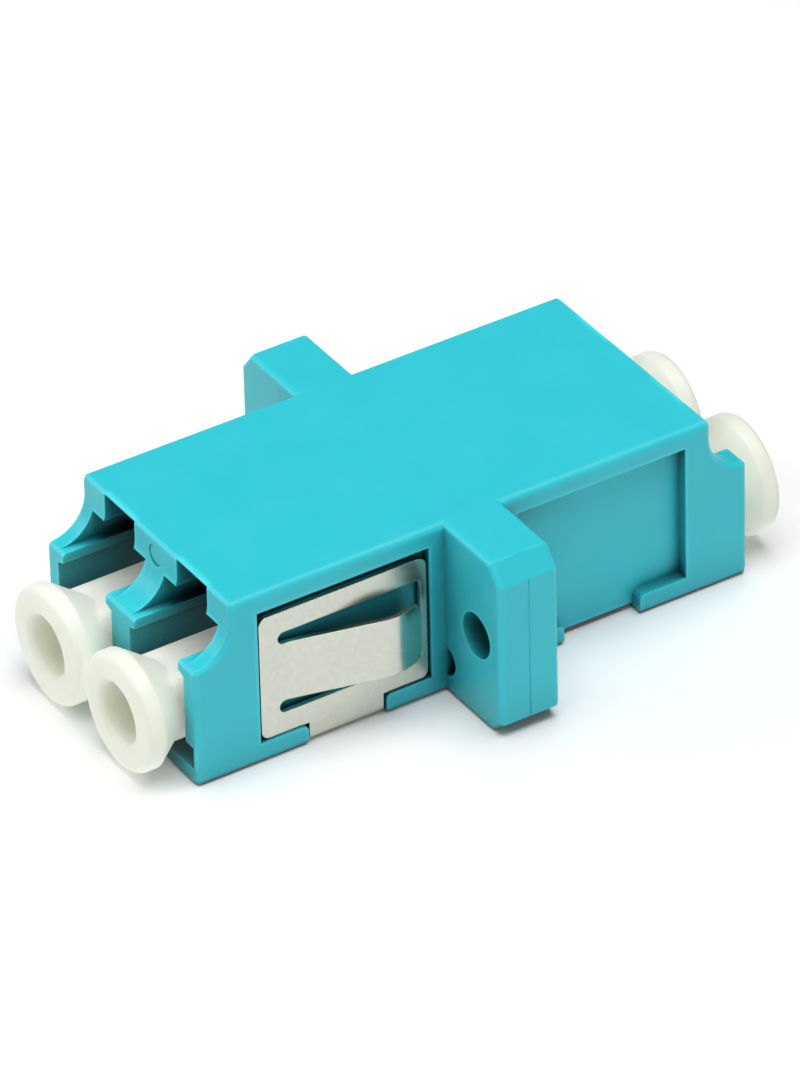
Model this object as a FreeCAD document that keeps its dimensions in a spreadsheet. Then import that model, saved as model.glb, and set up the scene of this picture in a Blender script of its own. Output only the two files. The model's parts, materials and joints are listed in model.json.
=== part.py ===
"""Duplex fibre optic adapter with a screw flange, a spring clip and four dust caps.

Frame, in millimetres: Y runs along the fibres, X across the two ports, Z up. The origin lies at the
bottom of the body, in the middle of the flange, where the two housing halves are welded together.
"""
import FreeCAD, Part
import math
import os
import re

import Sketcher

os.makedirs("parts", exist_ok=True)
doc = FreeCAD.newDocument("adapter")
sheet = doc.addObject("Spreadsheet::Sheet", "sizes")

SIZES = {
    # Body, seen from outside
    "body_width": 12.8,
    "body_height": 9.3,
    "half_length": 15.0,
    "top_half_length": 13.0,
    "long_edge_round": 0.35,
    "front_edge_bevel": 0.16,
    # Flange with its two screw ears
    "flange_width": 22.0,
    "flange_thickness": 3.2,
    "ear_chamfer_across": 0.8,
    "ear_chamfer_down": 1.0,
    "ear_foot_chamfer": 0.7,
    "ear_edge_round": 0.28,
    "screw_edge": 2.0,
    "screw_hole": 2.3,
    "weld_bevel": 0.04,
    "foot_pocket_radius": 0.78,
    "foot_pocket_height": 1.75,
    "foot_pocket_depth": 1.1,
    # Plug ports
    "port_pitch": 6.25,
    "port_width": 4.65,
    "port_height": 4.75,
    "port_floor": 0.9,
    "plug_height": 4.4,
    "rail_gap": 3.75,
    "rail_slope": 0.15,
    "rail_thickness": 0.65,
    "tooth_height": 0.6,
    "tooth_depth": 1.7,
    "latch_slot": 2.6,
    "top_wall": 0.95,
    "latch_chamber": 6.5,
    "mouth_lip": 0.1,
    "relief_height": 1.15,
    "relief_width": 0.65,
    "relief_depth": 2.5,
    "ejector_mark": 1.1,
    "ejector_mark_drop": 0.9,
    "ejector_mark_depth": 0.04,
    # Middle wall, sleeve holders and split sleeves
    "web_thickness": 0.9,
    "holder_diameter": 2.6,
    "holder_lip": 0.4,
    "ferrule_entry": 1.4,
    "entry_chamfer": 0.3,
    "sleeve_length": 6.8,
    "sleeve_diameter": 1.62,
    "sleeve_bore": 1.25,
    "sleeve_slit": 0.25,
    "sleeve_clearance": 0.04,
    "sleeve_end_play": 0.1,
    # Recess that takes the clip
    "recess_front": 11.6,
    "recess_back": 2.4,
    "recess_margin": 1.0,
    "recess_depth": 0.65,
    "rib_top": 1.1,
    "rib_round": 0.3,
    "lead_in": 0.4,
    "lead_in_rise": 0.16,
    # Spring clip
    "clip_sheet": 0.25,
    "clip_inset": 0.05,
    "clip_lift": 0.05,
    "clip_bend": 0.45,
    "strap_width": 4.0,
    "strap_centre": 6.95,
    "strap_gap": 0.1,
    "plate_inset": 0.1,
    "plate_gap": 0.12,
    "plate_seat": 0.05,
    "plate_drop": 0.47,
    "plate_corner": 0.45,
    "window_back": 2.85,
    "window_corner": 0.3,
    "slot_root": 10.17,
    "slot_width": 0.64,
    "tongue_root": 10.0,
    "tongue_overlap": 0.3,
    "tongue_bottom": 2.9,
    "tongue_height": 3.15,
    "tongue_corner": 0.55,
    "crest_place": 4.85,
    "crest_rise": 1.25,
    "crest_round": 2.5,
    "tip_place": 3.3,
    "tip_rise": 0.75,
    # Dust caps
    "cap_overhang": 2.2,
    "head_diameter": 5.9,
    "rim_bevel": 0.3,
    "rim_corner": 0.09,
    "rim_thickness": 0.85,
    "flare_length": 1.65,
    "stem_width": 3.5,
    "stem_round": 0.9,
    "stem_end_gap": 1.0,
    "cap_bore": 3.0,
    "mouth_bevel": 0.18,
    "cap_diaphragm": 0.8,
    "cap_clearance": 0.05,
    "cap_tip_gap": 0.3,
}
CUT_MARGIN = 1.0
TOUCH = 1e-4


def fill_sheet():
    """Write each size into the sheet as a plain number under its own name"""
    for row, (name, number) in enumerate(SIZES.items(), start=1):
        sheet.set(f"A{row}", name)
        sheet.set(f"B{row}", str(number))
        sheet.setAlias(f"B{row}", name)
    doc.recompute()


def bound(text):
    """Every word of an expression is a cell of the sheet"""
    return re.sub(r"[a-z][a-z_]+", lambda word: "sizes." + word.group(0), text)


def value(text):
    return float(doc.sizes.evalExpression(bound(text)))


def origin_plane(body, role):
    return next(feature for feature in body.Origin.OriginFeatures if feature.Role == role)


def new_body(label):
    body = doc.addObject("PartDesign::Body", label)
    body.Label = label
    return body


def new_sketch(body, name, role, offset=None):
    """A sketch on one of the body's own planes, moved along the plane's normal by an expression"""
    sketch = body.newObject("Sketcher::SketchObject", name)
    sketch.AttachmentSupport = [(origin_plane(body, role), "")]
    sketch.MapMode = "FlatFace"
    if offset:
        sketch.setExpression("AttachmentOffset.Base.z", bound(offset))
    return sketch


def drive(sketch, kind, picks, text):
    """Add a dimension and tie it to the sheet"""
    index = sketch.addConstraint(Sketcher.Constraint(kind, *picks, value(text)))
    sketch.setExpression(f"Constraints[{index}]", bound(text))


def place_point(sketch, edge, end, x_text, y_text):
    """Hold one end of an edge at a place given from the sketch's origin"""
    for kind, text, axis in (("DistanceX", x_text, -2), ("DistanceY", y_text, -1)):
        if text == "0":
            sketch.addConstraint(Sketcher.Constraint("PointOnObject", edge, end, axis))
        else:
            drive(sketch, kind, (-1, 1, edge, end), text)


def arc_between(start, finish, radius, turn):
    """The short arc from start to finish; turn is 1 for a left-hand bend and -1 for a right-hand one"""
    chord = finish - start
    half = chord.Length / 2
    reach = math.sqrt(max(radius ** 2 - half ** 2, 0))
    side = FreeCAD.Vector(-chord.y, chord.x, 0).normalize() * turn
    centre = (start + finish) / 2 + side * reach
    circle = Part.Circle(centre, FreeCAD.Vector(0, 0, 1), radius)
    first, last = (start, finish) if turn > 0 else (finish, start)
    angles = [math.atan2(point.y - centre.y, point.x - centre.x) for point in (first, last)]
    return Part.ArcOfCircle(circle, *angles)


def draw_outline(sketch, corners, arcs=None):
    """Close a wire through the corners; arcs gives the radius and turn of the edge that leaves a corner"""
    arcs = arcs or {}
    points = [FreeCAD.Vector(value(x_text), value(y_text), 0) for x_text, y_text in corners]
    ends = []
    for index, start in enumerate(points):
        finish = points[(index + 1) % len(points)]
        if index in arcs:
            radius, turn = arcs[index]
            edge = sketch.addGeometry(arc_between(start, finish, value(radius), turn))
            ends.append((edge, 1, 2) if turn > 0 else (edge, 2, 1))
        else:
            edge = sketch.addGeometry(Part.LineSegment(start, finish))
            ends.append((edge, 1, 2))
    for index, (edge, first, last) in enumerate(ends):
        following, begin, _ = ends[(index + 1) % len(ends)]
        sketch.addConstraint(Sketcher.Constraint("Coincident", edge, last, following, begin))
        place_point(sketch, edge, first, *corners[index])
        if index in arcs:
            drive(sketch, "Radius", (edge,), arcs[index][0])


def draw_rectangle(sketch, x_low, x_high, y_low, y_high):
    draw_outline(sketch, [(x_low, y_low), (x_high, y_low), (x_high, y_high), (x_low, y_high)])


def draw_rounded_rectangle(sketch, x_low, x_high, y_low, y_high, radius):
    corners = [
        (f"{x_low} + {radius}", y_low), (f"{x_high} - {radius}", y_low),
        (x_high, f"{y_low} + {radius}"), (x_high, f"{y_high} - {radius}"),
        (f"{x_high} - {radius}", y_high), (f"{x_low} + {radius}", y_high),
        (x_low, f"{y_high} - {radius}"), (x_low, f"{y_low} + {radius}"),
    ]
    draw_outline(sketch, corners, {corner: (radius, 1) for corner in (1, 3, 5, 7)})


def draw_circle(sketch, x_text, y_text, diameter):
    centre = FreeCAD.Vector(value(x_text), value(y_text), 0)
    edge = sketch.addGeometry(Part.Circle(centre, FreeCAD.Vector(0, 0, 1), value(diameter) / 2))
    place_point(sketch, edge, 3, x_text, y_text)
    drive(sketch, "Diameter", (edge,), diameter)


def extrude(body, kind, sketch, length, backwards=False, symmetric=False):
    """A pad or pocket of the given length, or right through where length is None"""
    feature = body.newObject("PartDesign::" + kind, sketch.Name + "_" + kind.lower())
    feature.Profile = sketch
    feature.Reversed = backwards
    if symmetric:
        feature.SideType = "Symmetric"
    if length is None:
        feature.Type = "ThroughAll"
    else:
        feature.setExpression("Length", bound(length))
    return settle(body, feature, kind == "Pad")


def turn(body, kind, sketch):
    """A full turn about the sketch's upright axis, which is the body's Y axis on the XY plane"""
    feature = body.newObject("PartDesign::" + kind, sketch.Name + "_" + kind.lower())
    feature.Profile = sketch
    feature.ReferenceAxis = (sketch, ["V_Axis"])
    feature.Angle = 360
    return settle(body, feature, kind == "Revolution")


def settle(body, feature, adds):
    """Recompute, and stop if the feature added or took away nothing"""
    doc.recompute()
    volume = feature.Shape.Volume
    base = feature.BaseFeature
    before = base.Shape.Volume if base else 0.0
    if (volume - before) * (1 if adds else -1) <= 0:
        raise RuntimeError(f"{body.Label}: {feature.Name} changes nothing ({before:.3f} to {volume:.3f})")
    return feature


def dress(body, kind, base, edges, size):
    """Fillet or chamfer the edges of a feature that pass a test"""
    names = [f"Edge{number}" for number, edge in enumerate(base.Shape.Edges, start=1) if edges(edge)]
    feature = body.newObject("PartDesign::" + kind, f"{base.Name}_{kind.lower()}")
    feature.Base = (base, names)
    feature.setExpression("Radius" if kind == "Fillet" else "Size", bound(size))
    doc.recompute()
    return feature


def corner_points(edge):
    return [vertex.Point for vertex in edge.Vertexes]


def near(number, text):
    return abs(number - value(text)) < TOUCH


def curve_of(edge):
    """The edge's curve, or None for a blend's edge that has no plain description"""
    try:
        return edge.Curve
    except TypeError:
        return None


def along(edge, axis):
    """True for a straight edge parallel to the axis"""
    curve = curve_of(edge)
    return isinstance(curve, Part.Line) and abs(getattr(curve.Direction, axis)) > 1 - TOUCH


def rounds(edge, radius):
    """True for a circle of the given radius"""
    curve = curve_of(edge)
    return isinstance(curve, Part.Circle) and near(curve.Radius, radius)


# Places that several pieces share
PORT_TOP = "port_floor + port_height"
LEDGE = "port_floor + port_height + rail_thickness"
FIBRE_HEIGHT = "port_floor + plug_height / 2"
LATCH_CEILING = "body_height - top_wall"
TOOTH_BOTTOM = "body_height - top_wall - tooth_height"
RECESS_TOP = "body_height - recess_margin"
HOLDER_TIP = "sleeve_length / 2 + sleeve_end_play + holder_lip"
STEP_RADIUS = "half_length - top_half_length"
STRAP_SLOT = "strap_width / 2 + strap_gap"
PLATE_OUTSIDE = "body_width / 2 - plate_inset"


def side_of(sign, text):
    """The same place on the right-hand or the left-hand side"""
    return text if sign > 0 else f"-({text})"


def port_x(sign, text):
    """A place across a port, measured from the port's middle"""
    return f"{sign} * port_pitch / 2 + {text}"


def build_flange(body):
    """Half of the flange: a plate with chamfered ears, rounded towards the port side"""
    sketch = new_sketch(body, body.Label + "_flange", "XZ_Plane")
    edge, across = "flange_width / 2", "flange_width / 2 - ear_chamfer_across"
    low, high, top = "ear_foot_chamfer", "body_height - ear_chamfer_down", "body_height"
    draw_outline(sketch, [
        (f"-({across})", "0"), (across, "0"), (edge, low), (edge, high),
        (across, top), (f"-({across})", top), (f"-({edge})", high), (f"-({edge})", low),
    ])
    plate = extrude(body, "Pad", sketch, "flange_thickness / 2")
    plate = dress(body, "Fillet", plate, lambda e: all(
        near(p.y, "-flange_thickness / 2") for p in corner_points(e)), "ear_edge_round")
    return dress(body, "Chamfer", plate, lambda e: all(
        near(p.y, "0") and near(abs(p.x), "flange_width / 2") for p in corner_points(e)), "weld_bevel")


def build_block(body):
    """The long body with rounded edges, and at its end a curved step with bevelled edges"""
    sketch = new_sketch(body, body.Label + "_section", "XZ_Plane")
    draw_rounded_rectangle(sketch, "-body_width / 2", "body_width / 2", "0", "body_height", "long_edge_round")
    extrude(body, "Pad", sketch, "half_length")
    sketch = new_sketch(body, body.Label + "_step", "YZ_Plane")
    outside, above = f"-half_length - {CUT_MARGIN}", f"body_height + {CUT_MARGIN}"
    draw_outline(sketch, [
        (outside, LEDGE), ("-half_length", LEDGE),
        ("-top_half_length", f"{LEDGE} + {STEP_RADIUS}"), ("-top_half_length", above), (outside, above),
    ], {1: (STEP_RADIUS, 1)})
    block = extrude(body, "Pocket", sketch, None, symmetric=True)

    def at_the_end(edge):
        points = corner_points(edge)
        smooth = along(edge, "x") and near(points[0].z, f"{LEDGE} + {STEP_RADIUS}")
        return not smooth and not along(edge, "y") and all(
            p.y < value("-top_half_length") + TOUCH for p in points)

    dress(body, "Chamfer", block, at_the_end, "front_edge_bevel")


def build_ports(body):
    """Two plug ports with guide rails, latch teeth, a ramp at the latch's mouth and reliefs at the floor"""
    chamber_end = "top_half_length - latch_chamber"
    half, rail, latch = "port_width / 2", "rail_gap / 2", "latch_slot / 2"
    rail_low = f"{PORT_TOP} + rail_slope"
    keyhole = new_sketch(body, body.Label + "_keyhole", "XZ_Plane", chamber_end)
    square = new_sketch(body, body.Label + "_plug", "XZ_Plane", "web_thickness")
    for sign in (-1, 1):
        right = [
            (half, "port_floor"), (half, PORT_TOP), (rail, rail_low), (rail, LEDGE),
            (half, LEDGE), (half, TOOTH_BOTTOM), (latch, TOOTH_BOTTOM), (latch, LATCH_CEILING),
        ]
        left = [("-" + x_text, z_text) for x_text, z_text in reversed(right)]
        draw_outline(keyhole, [(port_x(sign, x_text), z_text) for x_text, z_text in right + left])
        draw_rectangle(square, port_x(sign, "-" + half), port_x(sign, half), "port_floor", PORT_TOP)
    extrude(body, "Pocket", keyhole, None, backwards=True)
    extrude(body, "Pocket", square, f"{chamber_end} - web_thickness", backwards=True)

    chamber = new_sketch(body, body.Label + "_latch_chamber", "XZ_Plane", chamber_end)
    relief = new_sketch(body, body.Label + "_floor_relief", "XZ_Plane", "half_length - relief_depth")
    for sign in (-1, 1):
        draw_rectangle(chamber, port_x(sign, "-" + half), port_x(sign, half), TOOTH_BOTTOM, LATCH_CEILING)
        wall = f"port_pitch / 2 + {half}"
        edges = [side_of(sign, wall), side_of(sign, f"{wall} + relief_width")]
        draw_rectangle(relief, *edges[::sign], "port_floor", "port_floor + relief_height")
    extrude(body, "Pocket", chamber, "latch_chamber - tooth_depth", backwards=True)
    extrude(body, "Pocket", relief, None, backwards=True)
    mark = new_sketch(body, body.Label + "_ejector_mark", "XZ_Plane", "top_half_length - ejector_mark_depth")
    draw_circle(mark, "0", "body_height - ejector_mark_drop", "ejector_mark")
    extrude(body, "Pocket", mark, None, backwards=True)

    for sign, hand in ((-1, "left"), (1, "right")):
        ramp = new_sketch(body, f"{body.Label}_{hand}_ramp", "YZ_Plane", port_x(sign, "0"))
        inner, lip = "-top_half_length + tooth_depth", "body_height - mouth_lip"
        outside = f"-top_half_length - {CUT_MARGIN}"
        draw_outline(ramp, [(outside, LATCH_CEILING), (inner, LATCH_CEILING), ("-top_half_length", lip),
                            (outside, lip)])
        extrude(body, "Pocket", ramp, "latch_slot", symmetric=True)


def build_sleeve_holders(body):
    """Tubes on the middle wall that hold half of each split sleeve"""
    tube = new_sketch(body, body.Label + "_holder", "XZ_Plane", "web_thickness / 2")
    cavity = new_sketch(body, body.Label + "_sleeve_cavity", "XZ_Plane")
    entry = new_sketch(body, body.Label + "_ferrule_entry", "XZ_Plane")
    for sign in (-1, 1):
        place = (port_x(sign, "0"), FIBRE_HEIGHT)
        draw_circle(tube, *place, "holder_diameter")
        draw_circle(cavity, *place, "sleeve_diameter + 2 * sleeve_clearance")
        draw_circle(entry, *place, "ferrule_entry")
    extrude(body, "Pad", tube, f"{HOLDER_TIP} - web_thickness / 2")
    extrude(body, "Pocket", cavity, "sleeve_length / 2 + sleeve_end_play", backwards=True)
    bored = extrude(body, "Pocket", entry, HOLDER_TIP, backwards=True)

    def at_the_mouth(edge):
        return rounds(edge, "ferrule_entry / 2") and all(
            near(p.y, f"-({HOLDER_TIP})") for p in corner_points(edge))

    dress(body, "Chamfer", bored, at_the_mouth, "entry_chamfer")


def build_clip_seat(body):
    """Side recesses with a rib at each lower corner, and the groove that carries the strap below"""
    front, back = f"-strap_centre - ({STRAP_SLOT})", f"-strap_centre + {STRAP_SLOT}"
    below, shoulder = f"-{CUT_MARGIN}", "rib_top - rib_round"
    for sign, hand in ((-1, "left"), (1, "right")):
        sketch = new_sketch(body, f"{body.Label}_{hand}_recess", "YZ_Plane", side_of(sign, "body_width / 2"))
        draw_outline(sketch, [
            ("-recess_front", "rib_top"), (f"{front} - rib_round", "rib_top"), (front, shoulder),
            (front, below), (back, below),
            (back, shoulder), (f"{back} + rib_round", "rib_top"), ("-recess_back", "rib_top"),
            ("-recess_back", RECESS_TOP), ("-recess_front", RECESS_TOP),
        ], {1: ("rib_round", -1), 5: ("rib_round", -1)})
        extrude(body, "Pocket", sketch, "recess_depth", backwards=sign < 0)
    groove = new_sketch(body, body.Label + "_strap_groove", "YZ_Plane")
    ceiling = "clip_inset + clip_sheet + clip_lift"
    draw_outline(groove, [
        (f"{front} - lead_in", below), (f"{back} + lead_in", below),
        (f"{back} + lead_in", "0"), (back, "lead_in_rise"), (back, ceiling),
        (front, ceiling), (front, "lead_in_rise"), (f"{front} - lead_in", "0"),
    ])
    extrude(body, "Pocket", groove, None, symmetric=True)


def build_ear_holes(body):
    """Screw holes, and the half-round pockets at the foot of the ears"""
    screws = new_sketch(body, body.Label + "_screw_holes", "XZ_Plane")
    pockets = new_sketch(body, body.Label + "_foot_pockets", "XZ_Plane", "flange_thickness / 2")
    for sign in (-1, 1):
        draw_circle(screws, f"{sign} * (flange_width / 2 - screw_edge)", "body_height / 2", "screw_hole")
        wall = side_of(sign, "body_width / 2")
        out = side_of(sign, "body_width / 2 + foot_pocket_radius")
        low, high = (f"foot_pocket_height {way} foot_pocket_radius" for way in "-+")
        draw_outline(pockets, [(wall, low), (out, "foot_pocket_height"), (wall, high)],
                     {0: ("foot_pocket_radius", sign), 1: ("foot_pocket_radius", sign)})
    extrude(body, "Pocket", screws, None, backwards=True)
    extrude(body, "Pocket", pockets, "foot_pocket_depth")


def build_housing(label):
    """One moulded half; both halves are the same moulding"""
    body = new_body(label)
    build_flange(body)
    build_block(body)
    build_ports(body)
    build_sleeve_holders(body)
    build_clip_seat(body)
    build_ear_holes(body)
    return body


def build_clip(label):
    """One folded sheet: a strap under the body, a plate on each side and a spring tongue in each plate"""
    body = new_body(label)
    plate_front, plate_back = "recess_front - plate_gap", "recess_back + plate_gap"
    plate_low = "rib_top + plate_seat"
    inside = f"{PLATE_OUTSIDE} - clip_sheet"
    floor, ceiling = "clip_inset", "clip_inset + clip_sheet"
    plate_top = f"{RECESS_TOP} - plate_drop"
    bend, inner_bend = "clip_bend", "clip_bend - clip_sheet"

    section = new_sketch(body, "clip_section", "XZ_Plane", plate_back)
    fold_start, fold_end = f"{PLATE_OUTSIDE} - {bend}", f"{floor} + {bend}"
    right = [
        (fold_start, floor), (PLATE_OUTSIDE, fold_end), (PLATE_OUTSIDE, plate_top),
        (inside, plate_top), (inside, fold_end), (fold_start, ceiling),
    ]
    left = [(f"-({x_text})", z_text) for x_text, z_text in reversed(right)]
    folds = {0: (bend, 1), 4: (inner_bend, -1), 6: (inner_bend, -1), 10: (bend, 1)}
    draw_outline(section, right + left, folds)
    extrude(body, "Pad", section, f"{plate_front} - ({plate_back})")

    corners = new_sketch(body, "clip_corners", "YZ_Plane")
    below = f"clip_inset - {CUT_MARGIN}"
    strap_front, strap_back = (f"-strap_centre {way} strap_width / 2" for way in "-+")
    draw_rectangle(corners, f"-({plate_front}) - {CUT_MARGIN}", strap_front, below, plate_low)
    draw_rectangle(corners, strap_back, f"-({plate_back}) + {CUT_MARGIN}", below, plate_low)
    extrude(body, "Pocket", corners, None, symmetric=True)

    window = new_sketch(body, "clip_window", "YZ_Plane")
    tongue_top = "tongue_bottom + tongue_height"
    low, high = "tongue_bottom - slot_width", f"{tongue_top} + slot_width"
    slot_end = "-slot_root - slot_width / 2"
    slot_ends = {corner: ("slot_width / 2", 1) for corner in (3, 4, 8, 9)}
    draw_outline(window, [
        ("-window_back", f"{low} + window_corner"), ("-window_back", f"{high} - window_corner"),
        ("-window_back - window_corner", high),
        ("-slot_root", high), (slot_end, f"{high} - slot_width / 2"), ("-slot_root", tongue_top),
        ("-tongue_root", tongue_top), ("-tongue_root", "tongue_bottom"),
        ("-slot_root", "tongue_bottom"), (slot_end, f"{low} + slot_width / 2"), ("-slot_root", low),
        ("-window_back - window_corner", low),
    ], {1: ("window_corner", 1), 11: ("window_corner", 1), **slot_ends})
    plates = extrude(body, "Pocket", window, None, symmetric=True)

    def plate_corner(edge):
        points = corner_points(edge)
        ends = near(points[0].y, f"-({plate_front})") or near(points[0].y, f"-({plate_back})")
        return along(edge, "x") and ends

    dress(body, "Fillet", plates, plate_corner, "plate_corner")

    crest, tip = f"{PLATE_OUTSIDE} + crest_rise", f"{PLATE_OUTSIDE} + tip_rise"
    path = [(PLATE_OUTSIDE, "-tongue_root - tongue_overlap"), (PLATE_OUTSIDE, "-tongue_root"),
            (crest, "-crest_place"), (tip, "-tip_place")]
    back_path = [(f"{x_text} - clip_sheet", y_text) for x_text, y_text in reversed(path)]
    for sign, hand in ((-1, "left"), (1, "right")):
        tongue = new_sketch(body, f"clip_{hand}_tongue", "XY_Plane", "tongue_bottom")
        draw_outline(tongue, [(side_of(sign, x_text), y_text) for x_text, y_text in path + back_path])
        spring = extrude(body, "Pad", tongue, "tongue_height")

    def on_tip(edge):
        return along(edge, "x") and near(corner_points(edge)[0].y, "-tip_place")

    def on_crest(edge):
        return along(edge, "z") and near(corner_points(edge)[0].y, "-crest_place")

    spring = dress(body, "Fillet", spring, on_tip, "tongue_corner")
    dress(body, "Fillet", spring, on_crest, "crest_round")
    return body


def build_sleeve(label, sign):
    """A ceramic tube with one slit along its length"""
    outside = doc.addObject("Part::Cylinder", label + "_outside")
    bore = doc.addObject("Part::Cylinder", label + "_bore")
    slit = doc.addObject("Part::Box", label + "_slit")
    for tube, size in ((outside, "sleeve_diameter / 2"), (bore, "sleeve_bore / 2")):
        tube.setExpression("Radius", bound(size))
        tube.setExpression("Height", bound("sleeve_length"))
    slit.setExpression("Length", bound("sleeve_slit"))
    slit.setExpression("Width", bound("sleeve_diameter"))
    slit.setExpression("Height", bound("sleeve_length"))
    slit.setExpression("Placement.Base.x", bound("-sleeve_slit / 2"))
    tools = doc.addObject("Part::Fuse", label + "_tools")
    tools.Base, tools.Tool = bore, slit
    sleeve = doc.addObject("Part::Cut", label)
    sleeve.Base, sleeve.Tool = outside, tools
    sleeve.Label = label
    sleeve.Placement.Rotation = FreeCAD.Rotation(FreeCAD.Vector(1, 0, 0), 90)
    sleeve.setExpression("Placement.Base.x", bound(f"{sign} * port_pitch / 2"))
    sleeve.setExpression("Placement.Base.y", bound("sleeve_length / 2"))
    sleeve.setExpression("Placement.Base.z", bound(FIBRE_HEIGHT))
    return sleeve


def build_cap(label):
    """A dust cap about its own axis: flared head, square stem, blind bore and socket for the holder"""
    body = new_body(label)
    face = "-half_length - cap_overhang"
    stem_end = "web_thickness + stem_end_gap"
    radius, half = "head_diameter / 2", "stem_width / 2"
    rim_back = f"{face} + rim_thickness"
    flare_end = f"{rim_back} + flare_length"
    head = new_sketch(body, label + "_head", "XY_Plane")
    draw_outline(head, [
        ("0", face), (f"{radius} - rim_bevel", face), (f"{radius} - rim_corner", f"{face} + rim_corner"),
        (radius, f"{face} + rim_bevel"), (radius, rim_back), (half, flare_end), ("0", flare_end),
    ])
    turn(body, "Revolution", head)

    stem = new_sketch(body, label + "_stem", "XZ_Plane", stem_end)
    draw_rounded_rectangle(stem, "-" + half, half, "-" + half, half, "stem_round")
    extrude(body, "Pad", stem, f"-({rim_back}) - ({stem_end})")

    bottom = f"{HOLDER_TIP} + cap_tip_gap + cap_diaphragm"
    bore = new_sketch(body, label + "_bore", "XZ_Plane", bottom)
    draw_circle(bore, "0", "0", "cap_bore")
    bored = extrude(body, "Pocket", bore, None, backwards=True)
    dress(body, "Chamfer", bored, lambda e: rounds(e, "cap_bore / 2") and near(
        corner_points(e)[0].y, face), "mouth_bevel")

    socket = new_sketch(body, label + "_socket", "XZ_Plane", stem_end)
    draw_circle(socket, "0", "0", "holder_diameter + 2 * cap_clearance")
    extrude(body, "Pocket", socket, f"{HOLDER_TIP} + cap_tip_gap - ({stem_end})", backwards=True)
    return body


def half_round(body):
    """Turn a piece to the rear side"""
    body.Placement.Rotation = FreeCAD.Rotation(FreeCAD.Vector(0, 0, 1), 180)


def build_all():
    pieces = [build_housing("front_housing"), build_housing("rear_housing"), build_clip("mounting_clip")]
    half_round(pieces[1])
    for sign, hand in ((-1, "left"), (1, "right")):
        pieces.append(build_sleeve("split_sleeve_" + hand, sign))
    for end in ("front", "rear"):
        for sign, hand in ((-1, "left"), (1, "right")):
            cap = build_cap(f"dust_cap_{end}_{hand}")
            if end == "rear":
                half_round(cap)
            cap.setExpression("Placement.Base.x", bound(f"{sign} * port_pitch / 2"))
            cap.setExpression("Placement.Base.z", bound(FIBRE_HEIGHT))
            pieces.append(cap)
    doc.recompute()
    return pieces


def check(pieces):
    """Stop before anything is written if a feature failed or a piece isn't one sound solid"""
    for item in doc.Objects:
        if "Invalid" in item.State or "Error" in item.State:
            raise RuntimeError(f"{item.Label} failed: {item.State}")
    for piece in pieces:
        shape = piece.Shape
        if shape.isNull() or not shape.isValid() or len(shape.Solids) != 1:
            raise RuntimeError(f"{piece.Label} is not one sound solid")


fill_sheet()
all_pieces = build_all()
check(all_pieces)
for finished in all_pieces:
    finished.Shape.exportStep(f"parts/{finished.Label}.step")
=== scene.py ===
"""Looks of the fibre optic adapter: materials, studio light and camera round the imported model.

Everything is in metres in the model's own frame: Y along the fibres, X across the ports, Z up.
"""
import json
import math

import bpy
from mathutils import Matrix, Vector


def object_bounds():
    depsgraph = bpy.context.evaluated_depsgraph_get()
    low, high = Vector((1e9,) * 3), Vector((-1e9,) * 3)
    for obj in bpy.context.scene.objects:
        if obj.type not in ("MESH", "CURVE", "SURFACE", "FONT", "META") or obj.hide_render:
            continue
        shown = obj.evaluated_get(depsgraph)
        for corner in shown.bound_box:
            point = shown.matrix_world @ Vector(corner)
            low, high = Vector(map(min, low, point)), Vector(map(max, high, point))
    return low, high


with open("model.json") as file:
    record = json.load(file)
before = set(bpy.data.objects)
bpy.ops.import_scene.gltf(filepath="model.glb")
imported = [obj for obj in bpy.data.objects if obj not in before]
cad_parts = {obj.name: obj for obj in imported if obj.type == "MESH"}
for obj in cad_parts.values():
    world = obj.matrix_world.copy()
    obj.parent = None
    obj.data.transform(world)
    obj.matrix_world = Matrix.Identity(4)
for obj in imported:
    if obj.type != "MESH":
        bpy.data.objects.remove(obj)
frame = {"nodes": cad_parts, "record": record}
cad_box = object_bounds()
nodes = frame["nodes"]

MM = 0.001
SHADING_SAMPLES = 4  # rays that a point sends out for its rounded edges and for the room round it
NOISE_SPREAD = (0.3, 0.7)  # where nearly all values of a noise lie
RISING = (0.0, 1.0)
FALLING = (1.0, 0.0)

# Moulded housing
AQUA_SHADES = (0.026, 0.550, 0.640), (0.032, 0.575, 0.662)
# Painted highlight: a lighter aqua laid on thin edges
AQUA_THIN_EDGE_HIGHLIGHT = (0.050, 0.720, 0.800)
# Painted shade: a dark aqua laid in corners
AQUA_CORNER_SHADE = (0.004, 0.075, 0.108)
# Painted shade: a near-black aqua laid in ports and other deep places
AQUA_DEEP_SHADE = (0.001, 0.019, 0.036)
# How far a point looks round for room, and between which shares of open room the painted highlight and painted
# shade change the colour
THIN_REACH = 0.26 * MM  # short of the housing's 0.3 mm walls, which look no lighter than the rest
THIN_ROOM = (0.54, 0.95)
CORNER_REACH = 5.0 * MM
CORNER_ROOM = (0.43, 0.64)
DEEP_REACH = 6.0 * MM
DEEP_ROOM = (0.10, 0.50)
# How far from the weld plane edges begin to be softened, and over which multiple of that
WELD_CLEAR = 0.12 * MM
WELD_FADE = 1.5

# Dust caps
IVORY_SHADES = (0.85, 0.86, 0.745), (0.89, 0.90, 0.795)
# Painted light: colour and strength of a glow given to the caps where shade falls
PAINTED_GLOW_COLOUR = (0.93, 1.0, 0.90, 1.0)
PAINTED_GLOW_STRENGTH = 0.26
SHADE_REACH = 4.0 * MM
SHADE_ROOM = (0.08, 0.75)

# Clip, sleeves and floor
STEEL_SHADES = (0.60, 0.604, 0.525), (0.656, 0.66, 0.58)
ROLLING_STRETCH = (1.0, 0.06, 1.0)
CERAMIC_SHADES = (0.80, 0.78, 0.70), (0.87, 0.85, 0.78)
FLOOR_SHADES = (0.93, 0.93, 0.93), (0.95, 0.95, 0.95)
FLOOR_HALF = 1.5

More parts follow.
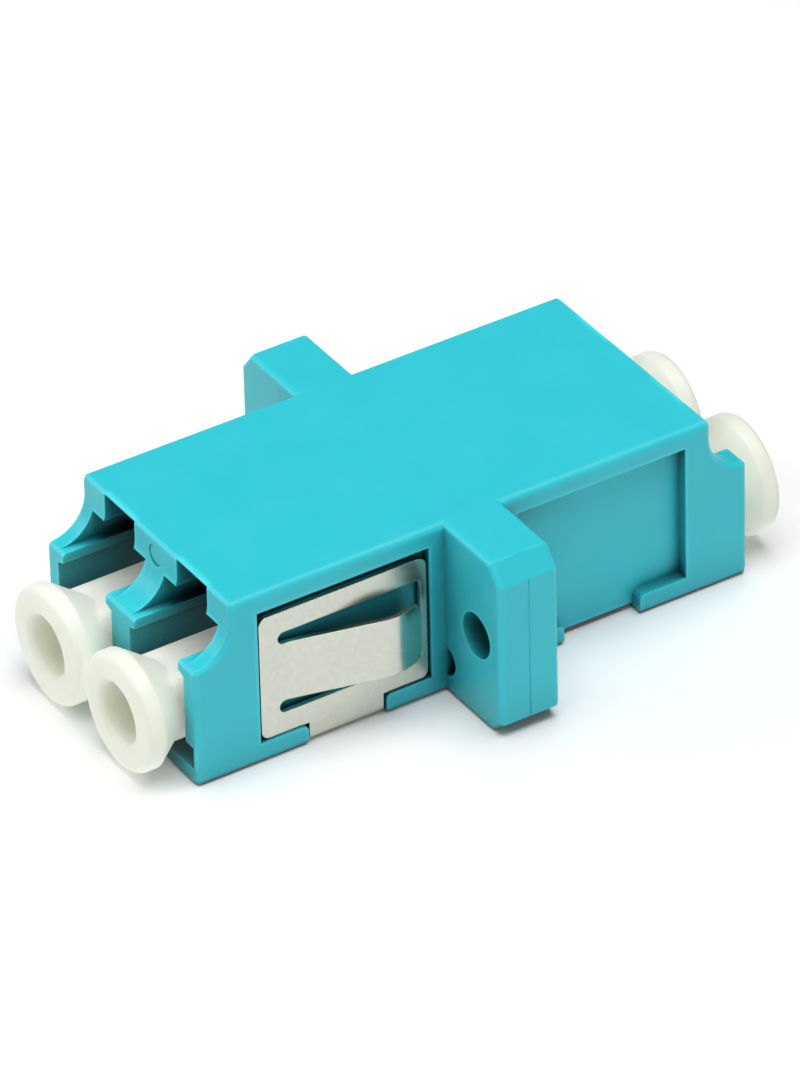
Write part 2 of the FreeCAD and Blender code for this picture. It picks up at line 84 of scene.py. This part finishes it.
# Studio: place, side length and power in watts of each soft box
SOFT_BOXES = {
    "box_above": ((0.05, 0.02, 0.50), 0.40, 2.55),
    "box_front": ((0.03, -0.36, 0.36), 0.28, 0.30),
    "box_right": ((0.46, -0.05, 0.20), 0.26, 0.38),
    "box_left": ((-0.24, -0.34, 0.34), 0.28, 0.27),
    "box_low_left": ((-0.36, -0.30, 0.16), 0.24, 0.50),
}
BOX_AIM = (0.0, 0.0, 0.004)
WORLD_COLOUR = (1.0, 1.0, 1.0, 1.0)
WORLD_STRENGTH = 0.04

# Camera, with its lens and sensor in millimetres
CAMERA_PLACE = (0.33381, -0.20690, 0.27808)
CAMERA_AIM = (0.00008, 0.0, 0.00452)
CAMERA_ROLL = math.radians(1.46)
LENS = 350.6
SENSOR_HEIGHT = 36.0


class Material:
    """A principled material with a few short ways of adding nodes to it"""

    def __init__(self, name):
        self.data = bpy.data.materials.new(name)
        self.data.use_nodes = True
        self.tree = self.data.node_tree
        self.shader = self.tree.nodes["Principled BSDF"]
        self.place = self.add("ShaderNodeTexCoord").outputs["Object"]

    def add(self, kind, **settings):
        """A new node with some of its settings changed"""
        node = self.tree.nodes.new(kind)
        for name, setting in settings.items():
            setattr(node, name, setting)
        return node

    def link(self, output, target):
        """Join a node's output to another node's socket"""
        self.tree.links.new(output, target)

    def drive(self, name, output):
        """Let an output set one of the shader's sockets"""
        self.link(output, self.shader.inputs[name])

    def set(self, **values):
        """Write constants to the shader's sockets, with _ for each space in a socket's name"""
        for name, number in values.items():
            self.shader.inputs[name.replace("_", " ")].default_value = number

    def stretched(self, scale):
        """The object's own coordinates, scaled along each axis"""
        mapping = self.add("ShaderNodeMapping")
        mapping.inputs["Scale"].default_value = scale
        self.link(self.place, mapping.inputs["Vector"])
        return mapping.outputs["Vector"]

    def noise(self, grain, detail=2.0, stretch=None):
        """Noise whose patches are about as large as grain, in metres"""
        node = self.add("ShaderNodeTexNoise")
        node.inputs["Scale"].default_value = 1.0 / grain
        node.inputs["Detail"].default_value = detail
        self.link(self.stretched(stretch) if stretch else self.place, node.inputs["Vector"])
        return node.outputs["Fac"]

    def remap(self, value, target, source=NOISE_SPREAD):
        """Spread a value that lies in the source range over the target range"""
        node = self.add("ShaderNodeMapRange")
        for name, number in zip(("From Min", "From Max", "To Min", "To Max"), (*source, *target)):
            node.inputs[name].default_value = number
        self.link(value, node.inputs["Value"])
        return node.outputs["Result"]

    def mix(self, factor, first, second):
        """Blend two colours by a factor, each given as numbers or as an output"""
        node = self.add("ShaderNodeMix", data_type="RGBA")
        self.link(factor, node.inputs["Factor"])
        ends = [socket for socket in node.inputs if socket.type == "RGBA"]
        for colour, socket in zip((first, second), ends):
            if isinstance(colour, tuple):
                socket.default_value = (*colour, 1.0)
            else:
                self.link(colour, socket)
        return next(output for output in node.outputs if output.type == "RGBA")

    def varied(self, noise, shades):
        """A colour that wanders between two shades with a noise"""
        return self.mix(self.remap(noise, RISING), *shades)

    def product(self, first, second):
        """Two outputs multiplied"""
        node = self.add("ShaderNodeMath", operation="MULTIPLY")
        self.link(first, node.inputs[0])
        self.link(second, node.inputs[1])
        return node.outputs["Value"]

    def openness(self, reach, inside=False, own=False):
        """How much room a point has within a reach, in metres, outside the solid or inside it

        Only the solid itself takes up room if own is set, and neither its neighbours nor the floor.
        """
        node = self.add("ShaderNodeAmbientOcclusion", samples=SHADING_SAMPLES, inside=inside, only_local=own)
        node.inputs["Distance"].default_value = reach
        return node.outputs["AO"]

    def away_from_weld(self, clear):
        """0 near the weld plane, where no edge is seen, rising to 1 past a distance in metres"""
        parts = self.add("ShaderNodeSeparateXYZ")
        self.link(self.place, parts.inputs["Vector"])
        distance = self.add("ShaderNodeMath", operation="ABSOLUTE")
        self.link(parts.outputs["Y"], distance.inputs[0])
        return self.remap(distance.outputs["Value"], RISING, (clear, WELD_FADE * clear))

    def soft_edges(self, radius):
        """A normal that is rounded along sharp edges by a radius in metres"""
        bevel = self.add("ShaderNodeBevel", samples=SHADING_SAMPLES)
        bevel.inputs["Radius"].default_value = radius
        return bevel.outputs["Normal"]

    def blend_normals(self, factor, normal):
        """The plain normal where the factor is 0, the given one where it is 1"""
        node = self.add("ShaderNodeMix", data_type="VECTOR")
        self.link(factor, node.inputs["Factor"])
        plain, changed = (socket for socket in node.inputs if socket.type == "VECTOR" and socket.name in "AB")
        self.link(self.add("ShaderNodeNewGeometry").outputs["Normal"], plain)
        self.link(normal, changed)
        return next(output for output in node.outputs if output.type == "VECTOR")

    def bump(self, normal, layers):
        """Stack bumps of the given heights, in metres, on a normal"""
        for value, height in layers:
            node = self.add("ShaderNodeBump")
            node.inputs["Distance"].default_value = height
            self.link(value, node.inputs["Height"])
            self.link(normal, node.inputs["Normal"])
            normal = node.outputs["Normal"]
        self.drive("Normal", normal)


def aqua_plastic():
    """Moulded housing: even aqua with a satin grain, with painted shade in corners and deep places and a
    painted highlight on thin edges
    """
    material = Material("aqua_plastic")
    clouds = material.noise(3.0 * MM, detail=3.0)
    grain = material.noise(0.09 * MM)
    # Painted highlight on thin edges, found from how little room a point has inside the solid
    thin = material.remap(material.openness(THIN_REACH, inside=True), FALLING, THIN_ROOM)
    thin = material.product(thin, material.away_from_weld(THIN_REACH))
    # Painted shade: darker where the housing's own walls close round a point
    outside_corner_shade = material.remap(material.openness(CORNER_REACH, own=True), RISING, CORNER_ROOM)
    # Painted shade: darker where little open room lies round a point, as in the ports
    outside_deep_shade = material.remap(material.openness(DEEP_REACH), RISING, DEEP_ROOM)
    colour = material.varied(clouds, AQUA_SHADES)
    colour = material.mix(thin, colour, AQUA_THIN_EDGE_HIGHLIGHT)
    colour = material.mix(outside_corner_shade, AQUA_CORNER_SHADE, colour)
    colour = material.mix(outside_deep_shade, AQUA_DEEP_SHADE, colour)
    material.drive("Base Color", colour)
    material.drive("Roughness", material.remap(grain, (0.36, 0.46)))
    material.set(IOR=1.46, Subsurface_Weight=0.08, Subsurface_Scale=0.6 * MM, Subsurface_Radius=(0.3, 1.0, 1.0))
    normal = material.blend_normals(material.away_from_weld(WELD_CLEAR), material.soft_edges(0.09 * MM))
    material.bump(normal, [(clouds, 0.004 * MM), (grain, 0.0018 * MM)])
    return material.data


def white_plastic():
    """Soft dust caps: ivory white with some light going through it, and a painted glow where shade falls, so
    that stems standing in a dark port look lit
    """
    material = Material("white_plastic")
    clouds = material.noise(1.6 * MM)
    grain = material.noise(0.12 * MM)
    # Painted light: a glow where other parts shade the cap, less where the cap shades itself
    glow_in_shade = material.remap(material.openness(SHADE_REACH), (PAINTED_GLOW_STRENGTH, 0.0), SHADE_ROOM)
    material.drive("Emission Strength", material.product(glow_in_shade, material.openness(SHADE_REACH, own=True)))
    material.drive("Base Color", material.varied(clouds, IVORY_SHADES))
    material.drive("Roughness", material.remap(grain, (0.34, 0.46)))
    material.set(IOR=1.5, Subsurface_Weight=0.7, Subsurface_Scale=1.2 * MM, Subsurface_Radius=(1.0, 1.0, 0.9))
    material.set(Emission_Color=PAINTED_GLOW_COLOUR)
    material.bump(material.soft_edges(0.28 * MM), [(clouds, 0.006 * MM), (grain, 0.002 * MM)])
    return material.data


def spring_steel():
    """Smooth rolled stainless sheet with a faint mottle and hardly visible rolling lines"""
    material = Material("spring_steel")
    mottle = material.noise(0.28 * MM, detail=4.0)
    lines = material.noise(0.15 * MM, stretch=ROLLING_STRETCH)
    material.drive("Base Color", material.varied(mottle, STEEL_SHADES))
    material.drive("Roughness", material.remap(lines, (0.21, 0.25)))
    material.set(Metallic=1.0)
    material.bump(material.soft_edges(0.05 * MM), [(mottle, 0.0006 * MM), (lines, 0.0001 * MM)])
    return material.data


def ceramic():
    """Polished sleeves, seen only when a cap is out"""
    material = Material("ceramic")
    clouds = material.noise(0.8 * MM)
    material.drive("Base Color", material.varied(clouds, CERAMIC_SHADES))
    material.drive("Roughness", material.remap(clouds, (0.10, 0.18)))
    material.set(IOR=2.1)
    return material.data


def dress_nodes():
    """Give every solid the material of its slot"""
    by_slot = {maker.__name__: maker() for maker in (aqua_plastic, white_plastic, spring_steel, ceramic)}
    for entry in frame["record"]["subparts"]:
        solid = nodes[entry["node"]]
        solid.data.materials.clear()
        solid.data.materials.append(by_slot[entry["material_slot"]])


def looking_at(place, aim):
    """The place and turn of a light or camera that looks from one point to another"""
    turn = (Vector(aim) - Vector(place)).to_track_quat("-Z", "Y")
    return Matrix.Translation(place) @ turn.to_matrix().to_4x4()


def add_soft_box(name, place, side, power):
    """A square area light that looks at the object"""
    light = bpy.data.lights.new(name, "AREA")
    light.size = side
    light.energy = power
    lamp = bpy.data.objects.new(name, light)
    lamp.matrix_world = looking_at(place, BOX_AIM)
    bpy.context.collection.objects.link(lamp)


def light_studio():
    """A large box above, smaller ones round the front, and hardly any light from elsewhere"""
    world = bpy.data.worlds.new("studio")
    world.use_nodes = True
    background = world.node_tree.nodes["Background"]
    background.inputs["Color"].default_value = WORLD_COLOUR
    background.inputs["Strength"].default_value = WORLD_STRENGTH
    bpy.context.scene.world = world
    for name, (place, side, power) in SOFT_BOXES.items():
        add_soft_box(name, place, side, power)
    bpy.context.scene.view_settings.view_transform = "Standard"


def lay_floor():
    """A pale floor that reaches past the picture on all sides"""
    corners = [(FLOOR_HALF * x, FLOOR_HALF * y, 0) for x, y in ((-1, -1), (1, -1), (1, 1), (-1, 1))]
    mesh = bpy.data.meshes.new("floor")
    mesh.from_pydata(corners, [], [(0, 1, 2, 3)])
    floor = bpy.data.objects.new("floor", mesh)
    floor.location.z = cad_box[0][2]
    bpy.context.collection.objects.link(floor)
    material = Material("floor_paint")
    material.drive("Base Color", material.varied(material.noise(200.0 * MM), FLOOR_SHADES))
    material.set(Roughness=0.9)
    mesh.materials.append(material.data)


def place_camera():
    """The photograph's long lens, found by fitting the object's corners"""
    camera_data = bpy.data.cameras.new("camera")
    camera_data.sensor_fit = "VERTICAL"
    camera_data.sensor_height = SENSOR_HEIGHT
    camera_data.lens = LENS
    camera = bpy.data.objects.new("camera", camera_data)
    camera.matrix_world = looking_at(CAMERA_PLACE, CAMERA_AIM) @ Matrix.Rotation(-CAMERA_ROLL, 4, "Z")
    bpy.context.collection.objects.link(camera)
    bpy.context.scene.camera = camera


dress_nodes()
light_studio()
lay_floor()
place_camera()
